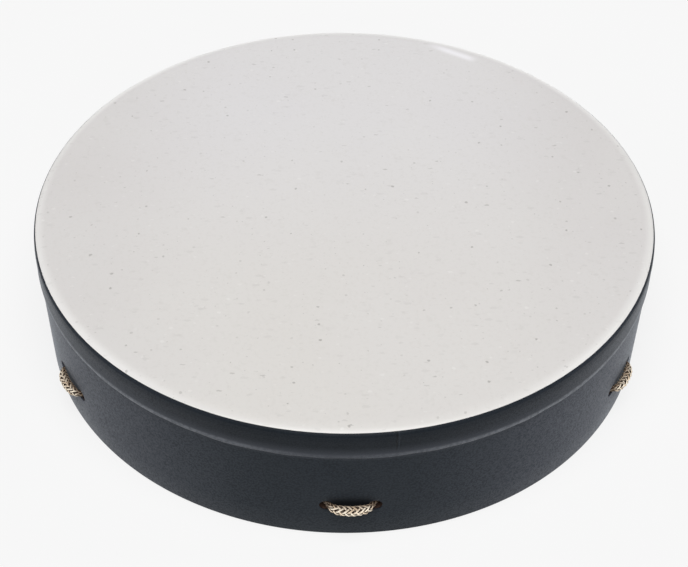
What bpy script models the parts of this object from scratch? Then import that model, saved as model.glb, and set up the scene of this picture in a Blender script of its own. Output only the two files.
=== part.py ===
"""One-headed frame drum with a rope grip laced across its open back.

Metres, +Z up. The drum lies on the open edge of its hoop: the origin is the centre of that edge and the
head faces up. Azimuths are counted from the front (-Y), positive towards +X.
"""
import math

import bmesh
import bpy
import numpy as np
from mathutils import Matrix, Vector

MM = 0.001

# Hoop
SHELL_DEPTH = 90.7 * MM
SHELL_OUTER_RADIUS = 201.4 * MM
SHELL_WALL = 6.0 * MM
BEARING_ROUND_WIDTH = 4.5 * MM
BEARING_ROUND_DROP = 2.5 * MM
BEARING_CHAMFER = 1.0 * MM
FOOT_CHAMFER = 0.8 * MM

# Layers bonded to the hoop
LAYER_GAP = 0.3 * MM
COVER_THICKNESS = 0.7 * MM
COVER_FOOT_MARGIN = 0.9 * MM
HEAD_THICKNESS = 1.2 * MM
COLLAR_DEPTH = 15.5 * MM
COVER_TO_COLLAR = 0.5 * MM
BAND_THICKNESS = 0.6 * MM
BAND_EDGE_THICKNESS = 0.35 * MM
BAND_LAP = 5.5 * MM
BAND_DRAPE = 3.0 * MM
BAND_TOP_SLOPE = math.radians(55)
SEAM_AZIMUTH = math.radians(7.5)
SEAM_GAP = 0.5 * MM

# Rope holes
ANCHOR_COUNT = 6
HOLE_DIAMETER = 8.0 * MM
HOLE_SPACING = 29.3 * MM
HOLE_HEIGHT = 27.2 * MM

# Rope lacing and its grip
ROPE_DIAMETER = 6.35 * MM
ROPE_CLEARANCE = 0.45 * MM
GRIP_SAG = 8.0 * MM
GRIP_LIFT = 16.0 * MM
RING_CORNER_RADIUS = 14.0 * MM
BIGHT_SPREAD = 4.0 * MM
LEG_LENGTH = 8.0 * MM
HINGE_GAP = 0.7 * MM
BUTT_GAP = 0.8 * MM
BUTT_DEPTH = 3.2 * MM

# Twine whippings over the butted rope ends
TWINE_DIAMETER = 2.0 * MM
TWINE_GAP = 0.65 * MM
TWINE_TURNS = 5
WHIPPED_STRAND = "strand_4_left"
WHIPPING_PLACE = 80.0 * MM

# The outer bight's route, from a hole to its middle: share of the half spacing, and distance from the cover
BIGHT_ROUTE = [(1.00, 0.0), (0.935, 1.9 * MM), (0.80, 3.3 * MM)]
BIGHT_ROUTE += [(0.55, 3.8 * MM), (0.28, 3.8 * MM), (0.0, 3.8 * MM)]
BIGHT_DROOP = 2.0 * MM

# Smoothness
HOOP_STEPS = 72
ROUND_STEPS = 3
HOLE_STEPS = 16
ROPE_BEVEL = 2
TWINE_BEVEL = 1
TURN_POINTS = 24
BIGHT_STEPS = 17
CORNER_POINTS = 5
INNER_TURN_POINTS = 9
ROUTE_STEPS = 24
SHARP_ANGLE = math.radians(35)
MERGE_DISTANCE = 0.01 * MM

# Sizes that follow from those above
ROPE_RADIUS = ROPE_DIAMETER / 2
HALF_SPACING = HOLE_SPACING / 2
ANCHOR_PITCH = 2 * math.pi / ANCHOR_COUNT
HALF_PITCH = ANCHOR_PITCH / 2
SHELL_INNER_RADIUS = SHELL_OUTER_RADIUS - SHELL_WALL
HEAD_INNER = LAYER_GAP
HEAD_OUTER = HEAD_INNER + HEAD_THICKNESS
BAND_INNER = HEAD_OUTER + LAYER_GAP
BAND_OUTER = BAND_INNER + BAND_THICKNESS
COVER_OUTER = LAYER_GAP + COVER_THICKNESS
COLLAR_FOOT = SHELL_DEPTH + HEAD_OUTER - COLLAR_DEPTH
COVER_TOP = COLLAR_FOOT - COVER_TO_COLLAR
BAND_FOOT = COLLAR_FOOT - BAND_LAP
COVER_RADIUS = SHELL_OUTER_RADIUS + COVER_OUTER
GRIP_HEIGHT = HOLE_HEIGHT - GRIP_SAG
TURN_RADIUS = ROPE_DIAMETER + ROPE_CLEARANCE
RING_REACH = (HALF_SPACING + BIGHT_SPREAD * math.cos(HALF_PITCH)) / math.sin(HALF_PITCH)
WHIPPING_RADIUS = ROPE_RADIUS + TWINE_DIAMETER / 2 + LAYER_GAP
TWINE_PITCH = TWINE_DIAMETER + TWINE_GAP


def clear_scene():
    for item in list(bpy.data.objects):
        bpy.data.objects.remove(item, do_unlink=True)


def make_material(name, colour, roughness, metallic=0.0):
    material = bpy.data.materials.new(name)
    material.use_nodes = True
    shader = material.node_tree.nodes["Principled BSDF"]
    shader.inputs["Base Color"].default_value = (*colour, 1.0)
    shader.inputs["Roughness"].default_value = roughness
    shader.inputs["Metallic"].default_value = metallic
    material.diffuse_color = (*colour, 1.0)
    return material


def add_object(name, data, material, parent=None):
    item = bpy.data.objects.new(name, data)
    if material:
        data.materials.append(material)
    bpy.context.scene.collection.objects.link(item)
    item.parent = parent
    return item


def add_empty(name, location):
    empty = bpy.data.objects.new(name, None)
    empty.location = location
    bpy.context.scene.collection.objects.link(empty)
    return empty


def outward(azimuth):
    return Vector((math.sin(azimuth), -math.cos(azimuth), 0.0))


def sideways(azimuth):
    return Vector((math.cos(azimuth), math.sin(azimuth), 0.0))


def bearing_point(slope, offset):
    """Radius and height on the hoop's rounded edge, moved out along the edge's normal."""
    across = BEARING_ROUND_DROP * math.sin(slope)
    along = BEARING_ROUND_WIDTH * math.cos(slope)
    length = math.hypot(across, along)
    radius = SHELL_OUTER_RADIUS - BEARING_ROUND_WIDTH + BEARING_ROUND_WIDTH * math.sin(slope)
    height = SHELL_DEPTH - BEARING_ROUND_DROP + BEARING_ROUND_DROP * math.cos(slope)
    return (radius + offset * across / length, height + offset * along / length)


def bearing_round(offset, first=0.0):
    """Points over the rounded edge, from the slope given to the vertical wall."""
    slopes = np.linspace(first, math.pi / 2, ROUND_STEPS + 1).tolist()
    return [bearing_point(slope, offset) for slope in slopes]


def turned_mesh(name, profile, start=0.0, sweep=2 * math.pi, open_profile=False):
    """Spin a profile of (radius, height) points round Z. An open profile gets its two end rings filled."""
    mesh_data = bpy.data.meshes.new(name)
    shape = bmesh.new()
    turn = Matrix.Rotation(start, 4, "Z")
    points = [shape.verts.new(turn @ Vector((radius, 0.0, height))) for radius, height in profile]
    edges = [shape.edges.new(pair) for pair in zip(points, points[1:])]
    if not open_profile:
        edges.append(shape.edges.new((points[-1], points[0])))
    whole = sweep >= 2 * math.pi
    bmesh.ops.spin(shape, geom=points + edges, cent=(0, 0, 0), axis=(0, 0, 1), angle=sweep,
                   steps=HOOP_STEPS, use_merge=whole, use_duplicate=False)
    bmesh.ops.remove_doubles(shape, verts=shape.verts, dist=MERGE_DISTANCE)
    rims = [edge for edge in shape.edges if edge.is_boundary]
    if rims:
        bmesh.ops.holes_fill(shape, edges=rims, sides=0)
    bmesh.ops.recalc_face_normals(shape, faces=shape.faces)
    shape.to_mesh(mesh_data)
    shape.free()
    mesh_data.shade_smooth()
    mesh_data.set_sharp_from_angle(angle=SHARP_ANGLE)
    return mesh_data


def facet_start():
    """Half a facet round from the front, so that each rope hole lies inside one facet."""
    return math.pi / HOOP_STEPS


def smooth_route(points, count):
    """Points at even steps along a smooth curve through the given points."""
    given = [Vector(point) for point in points]
    padded = [2 * given[0] - given[1]] + given + [2 * given[-1] - given[-2]]
    fine = []
    for before, first, last, after in zip(padded, padded[1:], padded[2:], padded[3:]):
        for share in np.linspace(0.0, 1.0, ROUTE_STEPS, endpoint=False).tolist():
            rise = (last - before) / 2
            fall = (after - first) / 2
            bend = 2 * first - 2 * last + rise + fall
            lean = 3 * last - 3 * first - 2 * rise - fall
            fine.append(first + share * (rise + share * (lean + share * bend)))
    fine.append(given[-1])
    line = np.array(fine)
    lengths = np.concatenate([[0.0], np.cumsum(np.linalg.norm(np.diff(line, axis=0), axis=1))])
    steps = np.linspace(0.0, lengths[-1], count)
    return [Vector([np.interp(step, lengths, line[:, axis]) for axis in range(3)]) for step in steps]


def add_tube(name, points, diameter, material, parent=None, closed=False, bevel=ROPE_BEVEL):
    """A round tube along the points, with flat ends."""
    curve = bpy.data.curves.new(name, "CURVE")
    curve.dimensions = "3D"
    curve.bevel_depth = diameter / 2
    curve.bevel_resolution = bevel
    curve.use_fill_caps = True
    spline = curve.splines.new("POLY")
    spline.points.add(len(points) - 1)
    for slot, point in zip(spline.points, points):
        slot.co = (*point, 1.0)
    spline.use_cyclic_u = closed
    spline.use_smooth = True
    return add_object(name, curve, material, parent)


def least_self_gap(points, diameter):
    """The smallest clear distance between two stretches of one tube that aren't neighbours along it."""
    line = np.array(points)
    steps = np.concatenate([[0.0], np.cumsum(np.linalg.norm(np.diff(line, axis=0), axis=1))])
    apart = np.linalg.norm(line[:, None] - line[None], axis=2)
    neighbours = np.abs(steps[:, None] - steps[None]) < 3 * diameter
    apart[neighbours] = np.inf
    return apart.min() - diameter


def add_hole_cutter():
    """Twelve drills, in parallel pairs, one pair for each outer bight."""
    shape = bmesh.new()
    length = 4 * SHELL_WALL
    for anchor in range(ANCHOR_COUNT):
        azimuth = anchor * ANCHOR_PITCH
        for side in (-1, 1):
            centre = SHELL_OUTER_RADIUS * outward(azimuth) + side * HALF_SPACING * sideways(azimuth)
            centre.z = HOLE_HEIGHT
            place = Matrix.Translation(centre) @ Matrix.Rotation(azimuth, 4, "Z") @ Matrix.Rotation(
                math.pi / 2, 4, "X")
            bmesh.ops.create_cone(shape, cap_ends=True, segments=HOLE_STEPS, radius1=HOLE_DIAMETER / 2,
                                  radius2=HOLE_DIAMETER / 2, depth=length, matrix=place)
    mesh_data = bpy.data.meshes.new("hole_cutter")
    shape.to_mesh(mesh_data)
    shape.free()
    cutter = add_object("hole_cutter", mesh_data, None)
    cutter.hide_render = True
    cutter.display_type = "WIRE"
    return cutter


def drill(item, cutter):
    holes = item.modifiers.new("rope_holes", "BOOLEAN")
    holes.operation = "DIFFERENCE"
    holes.solver = "EXACT"
    holes.object = cutter


def add_shell(material, cutter):
    """Fibre hoop: rounded bearing edge at the top, small chamfers at the foot it rests on."""
    outside = SHELL_OUTER_RADIUS
    inside = SHELL_INNER_RADIUS
    profile = [(inside, SHELL_DEPTH - BEARING_CHAMFER), (inside + BEARING_CHAMFER, SHELL_DEPTH)]
    profile += bearing_round(0.0)
    profile += [(outside, FOOT_CHAMFER), (outside - FOOT_CHAMFER, 0.0)]
    profile += [(inside + FOOT_CHAMFER, 0.0), (inside, FOOT_CHAMFER)]
    shell = add_object("shell", turned_mesh("shell", profile, facet_start()), material)
    drill(shell, cutter)


def add_cover(material, cutter):
    """Vinyl sleeve over the hoop's outside, from its foot to the head's collar."""
    inner = SHELL_OUTER_RADIUS + LAYER_GAP
    profile = [(COVER_RADIUS, COVER_TOP), (COVER_RADIUS, COVER_FOOT_MARGIN)]
    profile += [(inner, COVER_FOOT_MARGIN), (inner, COVER_TOP)]
    cover = add_object("shell_cover", turned_mesh("shell_cover", profile, facet_start()), material)
    drill(cover, cutter)


def add_drumhead(material):
    """Flat head with a rounded shoulder and a collar folded down the hoop's outside."""
    profile = bearing_round(HEAD_OUTER)
    profile.append((SHELL_OUTER_RADIUS + HEAD_OUTER, COLLAR_FOOT))
    profile.append((SHELL_OUTER_RADIUS + HEAD_INNER, COLLAR_FOOT))
    profile += reversed(bearing_round(HEAD_INNER))
    add_object("drumhead", turned_mesh("drumhead", profile, facet_start(), open_profile=True), material)


def add_collar_band(material):
    """Trim strip over the collar, draped from the collar's foot onto the cover and butted at a seam."""
    inner = SHELL_OUTER_RADIUS + BAND_INNER
    outer = SHELL_OUTER_RADIUS + BAND_OUTER
    lap_inner = COVER_RADIUS + LAYER_GAP
    lap_outer = lap_inner + BAND_EDGE_THICKNESS
    drape_top = COLLAR_FOOT - LAYER_GAP
    drape_foot = drape_top - BAND_DRAPE
    profile = bearing_round(BAND_OUTER, BAND_TOP_SLOPE)
    profile += [(outer, drape_top + BAND_THICKNESS), (lap_inner + BAND_THICKNESS, drape_foot)]
    profile += [(lap_outer, BAND_FOOT), (lap_inner, BAND_FOOT), (lap_inner, drape_foot), (inner, drape_top)]
    profile += reversed(bearing_round(BAND_INNER, BAND_TOP_SLOPE))
    gap_angle = SEAM_GAP / outer
    start = SEAM_AZIMUTH - math.pi / 2 + gap_angle / 2
    strip = turned_mesh("collar_band", profile, start, 2 * math.pi - gap_angle)
    add_object("collar_band", strip, material)


def butt_place():
    """Distance of an outer bight's ends from the drum's middle plane, inside the holes."""
    return math.sqrt(SHELL_OUTER_RADIUS ** 2 - HALF_SPACING ** 2) - BUTT_DEPTH


def add_outer_bights(material):
    """The rope's turns outside the wall, each from one hole of a pair to the other."""
    half = [(HALF_SPACING * share, COVER_RADIUS + off) for share, off in BIGHT_ROUTE]
    half = [(HALF_SPACING, butt_place())] + half
    whole = half + [(-across, out) for across, out in reversed(half[:-1])]
    for anchor in range(ANCHOR_COUNT):
        azimuth = anchor * ANCHOR_PITCH
        route = []
        for across, out in whole:
            droop = BIGHT_DROOP * (1 - abs(across) / HALF_SPACING)
            place = out * outward(azimuth) + across * sideways(azimuth)
            route.append((place.x, place.y, HOLE_HEIGHT - droop))
        add_tube(f"outer_bight_{anchor + 1}", smooth_route(route, BIGHT_STEPS), ROPE_DIAMETER, material)


def ring_points():
    """A hexagon with round corners, each corner in an inner bight."""
    points = []
    for corner in range(ANCHOR_COUNT):
        azimuth = corner * ANCHOR_PITCH + HALF_PITCH
        middle = (RING_REACH - RING_CORNER_RADIUS) * outward(azimuth)
        for turn in np.linspace(-HALF_PITCH, HALF_PITCH, CORNER_POINTS).tolist():
            points.append(middle + RING_CORNER_RADIUS * outward(azimuth + turn))
    return points


def inner_bight_points(azimuth):
    """In over the ring from one anchor, round its inner side, and out under it to the next anchor."""
    out = outward(azimuth)
    aside = sideways(azimuth)
    lean = -math.tan(HALF_PITCH) * math.pi * TURN_RADIUS
    turn = []
    for share in np.linspace(0.0, 1.0, INNER_TURN_POINTS).tolist():
        angle = math.pi / 2 + math.pi * share
        spread = BIGHT_SPREAD * (1 - 2 * share)
        spread += (lean + 2 * BIGHT_SPREAD) * share * (1 - share) * (1 - 2 * share)
        reach = RING_REACH + TURN_RADIUS * math.cos(angle)
        turn.append(reach * out + spread * aside + Vector((0, 0, TURN_RADIUS * math.sin(angle))))
    upper = turn[0] + LEG_LENGTH * outward(azimuth + HALF_PITCH)
    lower = turn[-1] + LEG_LENGTH * outward(azimuth - HALF_PITCH)
    return [upper] + turn + [lower]


def add_whipping(name, material, parent, middle, along, across):
    """Twine wound in one helix round a rope, whose ends run straight off for one twine diameter."""
    along = along.normalized()
    across = across.normalized()
    third = along.cross(across)
    points = []
    for step in range(TWINE_TURNS * TURN_POINTS + 1):
        angle = 2 * math.pi * step / TURN_POINTS
        advance = TWINE_PITCH * (step / TURN_POINTS - TWINE_TURNS / 2)
        round_rope = math.cos(angle) * across + math.sin(angle) * third
        points.append(middle + advance * along + WHIPPING_RADIUS * round_rope)
    first = points[0] - TWINE_DIAMETER * third
    last = points[-1] + TWINE_DIAMETER * third
    points = [first] + points + [last]
    add_tube(name, points, TWINE_DIAMETER, material, parent, bevel=TWINE_BEVEL)
    print(f"{name} least gap to itself: {least_self_gap(points, TWINE_DIAMETER) / MM:.2f} mm")


def add_grip(rope, twine):
    """Ring and inner bights on one carrier, which the lift slides along Z, and the strands hinged to it."""
    carrier = add_empty("grip_carrier", (0.0, 0.0, GRIP_HEIGHT))
    add_tube("gather_ring", ring_points(), ROPE_DIAMETER, rope, carrier, closed=True)
    side = ANCHOR_COUNT // 2 * ANCHOR_PITCH
    apothem = (RING_REACH - RING_CORNER_RADIUS) * math.cos(HALF_PITCH) + RING_CORNER_RADIUS
    add_whipping("ring_whipping", twine, carrier, apothem * outward(side), sideways(side), outward(side))
    for corner in range(ANCHOR_COUNT):
        azimuth = corner * ANCHOR_PITCH + HALF_PITCH
        points = inner_bight_points(azimuth)
        add_tube(f"inner_bight_{corner + 1}", points, ROPE_DIAMETER, rope, carrier)
        after = (corner + 1) % ANCHOR_COUNT
        add_strand(f"strand_{after + 1}_left", after, points[0], rope, twine, carrier)
        add_strand(f"strand_{corner + 1}_right", corner, points[-1], rope, twine, carrier)


def add_strand(name, anchor, leg_end, rope, twine, carrier):
    """A straight strand, hinged at its leg's end, that reaches into its hole."""
    azimuth = anchor * ANCHOR_PITCH
    length = butt_place() - BUTT_GAP - leg_end.dot(outward(azimuth))
    rise = HOLE_HEIGHT - GRIP_HEIGHT - leg_end.z
    pitch = math.asin(rise / length)
    ends = [Vector((HINGE_GAP, 0, 0)), Vector((length, 0, 0))]
    strand = add_tube(name, ends, ROPE_DIAMETER, rope, carrier)
    strand.location = leg_end
    strand.rotation_euler = (0.0, -pitch, azimuth - math.pi / 2)
    swing = pitch - math.asin((rise - GRIP_LIFT) / length)
    print(f"{name} hinge height {leg_end.z + GRIP_HEIGHT:.6f} m, length {length:.6f} m")
    print(f"{name} swing {swing:.6f} rad")
    if name == WHIPPED_STRAND:
        middle = Vector((WHIPPING_PLACE, 0.0, 0.0))
        add_whipping("lacing_whipping", twine, strand, middle, Vector((1, 0, 0)), Vector((0, 0, 1)))


def main():
    clear_scene()
    fibre = make_material("hoop_fibre", (0.16, 0.09, 0.05), 0.85)
    vinyl = make_material("grained_vinyl", (0.035, 0.036, 0.040), 0.55)
    trim = make_material("collar_trim", (0.022, 0.023, 0.026), 0.60)
    film = make_material("head_film", (0.74, 0.72, 0.70), 0.55)
    rope = make_material("braided_rope", (0.55, 0.44, 0.32), 0.90)
    twine = make_material("whipping_twine", (0.42, 0.33, 0.24), 0.90)
    cutter = add_hole_cutter()
    add_shell(fibre, cutter)
    add_cover(vinyl, cutter)
    add_drumhead(film)
    add_collar_band(trim)
    add_outer_bights(rope)
    add_grip(rope, twine)
    bpy.context.view_layer.update()


main()
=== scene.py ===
"""Looks of a one-headed frame drum that lies on its open edge, with a braided rope grip in its back.

Metres, +Z up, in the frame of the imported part. Azimuths are counted from the front (-Y), positive towards +X.
"""
import math

import bmesh
import bpy
import numpy as np
from mathutils import Matrix, Vector


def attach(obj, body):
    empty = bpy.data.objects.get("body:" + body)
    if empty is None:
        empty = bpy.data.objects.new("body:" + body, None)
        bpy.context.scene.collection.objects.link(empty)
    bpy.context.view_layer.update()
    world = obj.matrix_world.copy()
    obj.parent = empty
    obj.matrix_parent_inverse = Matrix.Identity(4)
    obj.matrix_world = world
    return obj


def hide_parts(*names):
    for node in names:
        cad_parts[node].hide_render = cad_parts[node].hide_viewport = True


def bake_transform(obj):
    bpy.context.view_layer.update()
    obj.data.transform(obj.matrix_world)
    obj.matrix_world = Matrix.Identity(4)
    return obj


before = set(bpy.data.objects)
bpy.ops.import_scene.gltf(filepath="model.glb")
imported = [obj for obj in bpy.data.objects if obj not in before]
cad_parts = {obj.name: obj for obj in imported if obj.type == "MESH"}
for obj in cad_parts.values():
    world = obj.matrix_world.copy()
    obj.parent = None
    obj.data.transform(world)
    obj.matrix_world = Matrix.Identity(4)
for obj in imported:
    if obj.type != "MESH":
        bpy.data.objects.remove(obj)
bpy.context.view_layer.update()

MM = 0.001
UP = np.array([0.0, 0.0, 1.0])
QUARTER_TURN = math.pi / 2
FULL_TURN = 2 * math.pi
WHITE = (1.0, 1.0, 1.0, 1.0)

# Picture
PICTURE_WIDTH = 688
FOCAL_PIXELS = 1367.7
SENSOR_WIDTH = 36.0
CAMERA_AZIMUTH = math.radians(-1.6)
CAMERA_ELEVATION = math.radians(43.265)
CAMERA_DISTANCE = 955.8 * MM
CAMERA_ROLL = math.radians(0.672)
CAMERA_TARGET = Vector((0.10 * MM, 0.0, 15.59 * MM))

# Hoop and the layers bonded to it, as in the part's source
SHELL_DEPTH = 90.7 * MM
SHELL_OUTER_RADIUS = 201.4 * MM
SHELL_WALL = 6.0 * MM
BEARING_ROUND_WIDTH = 4.5 * MM
BEARING_ROUND_DROP = 2.5 * MM
SHOULDER_WIDTH = 8.0 * MM
BEARING_CHAMFER = 1.0 * MM
FOOT_CHAMFER = 0.8 * MM
LAYER_GAP = 0.3 * MM
COVER_THICKNESS = 0.7 * MM
COVER_FOOT_MARGIN = 0.9 * MM
HEAD_THICKNESS = 1.2 * MM
COLLAR_DEPTH = 15.5 * MM
COVER_TO_COLLAR = 0.5 * MM
SEAM_AZIMUTH = math.radians(7.5)

# Rope holes and lacing, as in the part's source
ANCHOR_COUNT = 6
HOLE_DIAMETER = 8.0 * MM
HOLE_SPACING = 29.3 * MM
HOLE_HEIGHT = 27.2 * MM
ROPE_DIAMETER = 6.35 * MM
ROPE_CLEARANCE = 0.45 * MM
GRIP_SAG = 8.0 * MM
RING_CORNER_RADIUS = 14.0 * MM
BIGHT_SPREAD = 4.0 * MM
LEG_LENGTH = 8.0 * MM
BUTT_DEPTH = 3.2 * MM
BIGHT_DROOP = 0.4 * MM
TWINE_DIAMETER = 2.0 * MM
TWINE_GAP = 0.65 * MM
TWINE_TURNS = 5
WHIPPED_STRAND = "strand_4_left"
WHIPPING_PLACE = 80.0 * MM

# Sizes that follow from those above
HALF_SPACING = HOLE_SPACING / 2
ANCHOR_PITCH = FULL_TURN / ANCHOR_COUNT
HALF_PITCH = ANCHOR_PITCH / 2
ROW_TOP = HOLE_HEIGHT + HOLE_DIAMETER
ROW_FOOT = HOLE_HEIGHT - HOLE_DIAMETER
SHELL_INNER_RADIUS = SHELL_OUTER_RADIUS - SHELL_WALL
HEAD_INNER = LAYER_GAP
HEAD_OUTER = HEAD_INNER + HEAD_THICKNESS
COVER_RADIUS = SHELL_OUTER_RADIUS + LAYER_GAP + COVER_THICKNESS
COLLAR_RADIUS = SHELL_OUTER_RADIUS + HEAD_OUTER
COLLAR_FOOT = SHELL_DEPTH + HEAD_OUTER - COLLAR_DEPTH
COVER_TOP = COLLAR_FOOT - COVER_TO_COLLAR
GRIP_HEIGHT = HOLE_HEIGHT - GRIP_SAG
TURN_RADIUS = ROPE_DIAMETER + ROPE_CLEARANCE
RING_REACH = (HALF_SPACING + BIGHT_SPREAD * math.cos(HALF_PITCH)) / math.sin(HALF_PITCH)
RING_APOTHEM = (RING_REACH - RING_CORNER_RADIUS) * math.cos(HALF_PITCH) + RING_CORNER_RADIUS
BUTT_PLACE = math.sqrt(SHELL_OUTER_RADIUS ** 2 - HALF_SPACING ** 2) - BUTT_DEPTH
WHIPPING_RADIUS = ROPE_DIAMETER / 2 + TWINE_DIAMETER / 2 + LAYER_GAP
TWINE_PITCH = TWINE_DIAMETER + TWINE_GAP

# Fineness of the turned surfaces
HOOP_STEPS = 360
ROUND_STEPS = 14
HOLE_STEPS = 48
FLARE_POINTS = 5
FOOT_POINTS = 4
HEAD_RINGS = 6
BAND_STEPS = 12
SHARP_ANGLE = math.radians(35)
EVEN_AZIMUTHS = FULL_TURN * np.arange(HOOP_STEPS) / HOOP_STEPS

# Rims of the holes and the cover's foot
HOLE_FLARE = 0.35 * MM
DRILL_INSIDE = 4 * SHELL_WALL
DRILL_OUTSIDE = 2 * SHELL_WALL
COVER_EDGE_ROUND = 0.3 * MM

# Trim band, from its thin upper edge on the head's shoulder, which lies lower towards the back, to its foot
BAND_TOP_SLOPE = math.radians(61)
BAND_TOP_LEAN = math.radians(19)
BAND_TOP_LIFT = 0.08 * MM
BAND_FLAT_REACH = 1.85 * MM
BAND_FLAT_TOP = 84.3 * MM
BAND_FLARE_TOP = 81.5 * MM
BAND_RIDGE_REACH = 2.1 * MM
BAND_RIDGE = 72.6 * MM
BAND_FOOT_REACH = 0.10 * MM
BAND_FOOT = 71.0 * MM

# Wander of the band's lower edge: how many waves go round the hoop, and the phase of each
RIPPLE_HEIGHT = 0.85 * MM
RIPPLE_DEPTH = 0.06 * MM
RIPPLE_WAVES = [(5, 0.4), (11, 1.9), (17, 4.1), (29, 2.6), (43, 0.9), (61, 3.3)]

# Grooves of the band's seam: place across it, and depth as a share of the cut
SEAM_CUT = 0.25 * MM
SEAM_PLACES = [(-1.2 * MM, 0.0), (-0.85 * MM, 1.0), (-0.55 * MM, 1.0), (-0.25 * MM, 0.1)]
SEAM_PLACES += [(0.25 * MM, 0.1), (0.55 * MM, 0.9), (0.8 * MM, 0.9), (1.15 * MM, 0.0)]
SEAM_AZIMUTHS = [SEAM_AZIMUTH + place / COVER_RADIUS for place, depth in SEAM_PLACES]
SEAM_TOP = 87.8 * MM
SEAM_FADE = 2.0 * MM

# The outer bight from its middle to a hole, hugging the wall and squeezed where it bends into the hole:
# distance across, distance from the cover, and girth as a share of the rope's
BIGHT_ROUTE = [(0.0, 3.4 * MM, 1.02), (4.0 * MM, 3.2 * MM, 1.00), (7.0 * MM, 2.7 * MM, 0.96)]
BIGHT_ROUTE += [(9.3 * MM, 1.9 * MM, 0.88), (11.0 * MM, 0.8 * MM, 0.76), (12.1 * MM, -0.6 * MM, 0.66)]
BIGHT_ROUTE += [(13.0 * MM, -2.2 * MM, 0.66)]

# Lacing: room between a strand's end and the outer bight, and reach of a strand's bend at the ring
UPPER_END_GAP = 1.4 * MM
LOWER_END_GAP = 2.3 * MM
INNER_TURN_POINTS = 9
STRAND_POINTS = 6
CORNER_POINTS = 7
LINE_STEPS = 40
NEARLY_UPRIGHT = 0.1
TUBE_SHARP_ANGLE = math.radians(60)

# Braid: carriers run both ways round the core, each over two of the others and then under two. They wander a
# little, and a shift of the marks keeps one carrier's fibres from matching the next one's.
CARRIERS = 12
BRAID_PITCH = 19.0 * MM
BRAID_CORE_RADIUS = 1.95 * MM
CARRIER_WIDTH = 1.20 * MM
CARRIER_HEIGHT = 0.95 * MM
CARRIER_WEAVE = 0.55 * MM
CARRIER_SIDES = 8
CARRIER_SHIFT = 0.37
CARRIER_WANDER = 0.11
CARRIER_PHASE = 1.7
CORE_SIDES = 12
RINGS_PER_CROSSING = 3
BRAID_STEP = BRAID_PITCH / CARRIERS / RINGS_PER_CROSSING

# Twine: plies twisted one way
PLIES = 3
PLY_PITCH = 5.0 * MM
PLY_RADIUS = 0.48 * MM
PLY_SIDES = 8
PLY_STEP = 0.35 * MM
TURN_POINTS = 24

# Looks. Colours are linear. A noise is its cells per metre, detail and roughness. Shades are the values where
# a change begins and ends, and the colours there. A stain is those values, its largest share and its colour.
# A layer is a noise and its stain. A relief is its depth and strength. A range is the values where it begins
# and ends, and what it gives there.

# Head: film, and painted light along the rim: painted shade at the front, painted highlight at the sides and
# back
# Painted light: the film is warmer at the front and paler and cooler at the back
HEAD_LIGHT_SHADES = (-0.15, 0.15, (0.634, 0.614, 0.590), (0.644, 0.632, 0.640))
# Painted shade: the film is darker towards the left and right
HEAD_SIDE_SHADE = (0.06, 0.21, 0.95, (0.592, 0.572, 0.564))
TINT = ((5.0, 1.0, 0.5), 0.42, 0.62, 0.22, (0.618, 0.594, 0.596))
CLOUD = ((9.0, 2.0, 0.5), 0.3, 0.7, 0.25, (0.656, 0.648, 0.632))
PULP = ((420.0, 3.0, 0.6), 0.50, 0.72, 0.16, (0.50, 0.48, 0.45))
PULP_RELIEF = (0.05 * MM, 0.4)
SMUDGE = ((130.0, 2.0, 0.55), 0.60, 0.74, 0.12, (0.45, 0.43, 0.41))
TOOTH_NOISE = (1500.0, 2.0, 0.6)
TOOTH_RELIEF = (0.03 * MM, 0.5)
HEAD_ROUGHNESS = (0.3, 0.7, 0.34, 0.40)
HEAD_SPECULAR = 0.5
# Painted light along the rim: painted shade at the front, painted highlight at the sides, brightest at the back
RIM = (SHELL_OUTER_RADIUS - 6.5 * MM, SHELL_OUTER_RADIUS)
RIM_LIGHT_SHADES = (-0.203, -0.14, (0.590, 0.575, 0.555), (0.712, 0.700, 0.686))
RIM_BACK = (0.03, 0.15)
RIM_BACK_HIGHLIGHT = (0.85, 0.84, 0.83)

# Specks in the head: cells per metre, largest radius as a share of a cell, share of cells with a speck,
# darkness, and how far and which way the cells are stretched
FLECKS = [(62.0, 0.060, 0.42, 0.58, 1.0, 0.0), (150.0, 0.075, 0.30, 0.34, 1.0, 0.0)]
FLECKS += [(95.0, 0.115, 0.55, 0.115, 0.42, 0.15), (105.0, 0.100, 0.45, 0.115, 0.50, -0.35)]
FLECKS += [(90.0, 0.085, 0.35, 0.100, 0.45, 1.3), (66.0, 0.042, 0.30, 0.42, 0.34, 0.6)]
FLECKS += [(66.0, 0.040, 0.30, 0.42, 0.34, -0.9), (420.0, 0.120, 0.35, 0.14, 1.0, 0.0)]
FLECK_SHADE = (0.235, 0.220, 0.205)
PALE_FLECKS = [(66.0, 0.075, 0.40, 0.28, 0.8, 0.4), (130.0, 0.085, 0.42, 0.22, 0.6, 0.2)]
PALE_SHADE = (0.80, 0.79, 0.775)
FLECK_BEND = (480.0, 1.7 * MM)
LEAST_FLECK = 0.40
LEAST_DARKNESS = 0.35
FLECK_EDGE = (-0.20, 0.35)

# A painted highlight: the pale glare of a light near the back right of the head; its ends fade over shares of
# its length
STREAK_START = (68.4 * MM, 182.0 * MM)
STREAK_END = (99.9 * MM, 161.5 * MM)
STREAK_WIDTH = 5.2 * MM
GLARE_HIGHLIGHT = (0.83, 0.82, 0.85)
STREAK_SHARE = 0.75
STREAK_RISE = (-0.15, 0.4)
STREAK_FALL = (1.1, 0.85)

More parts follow.
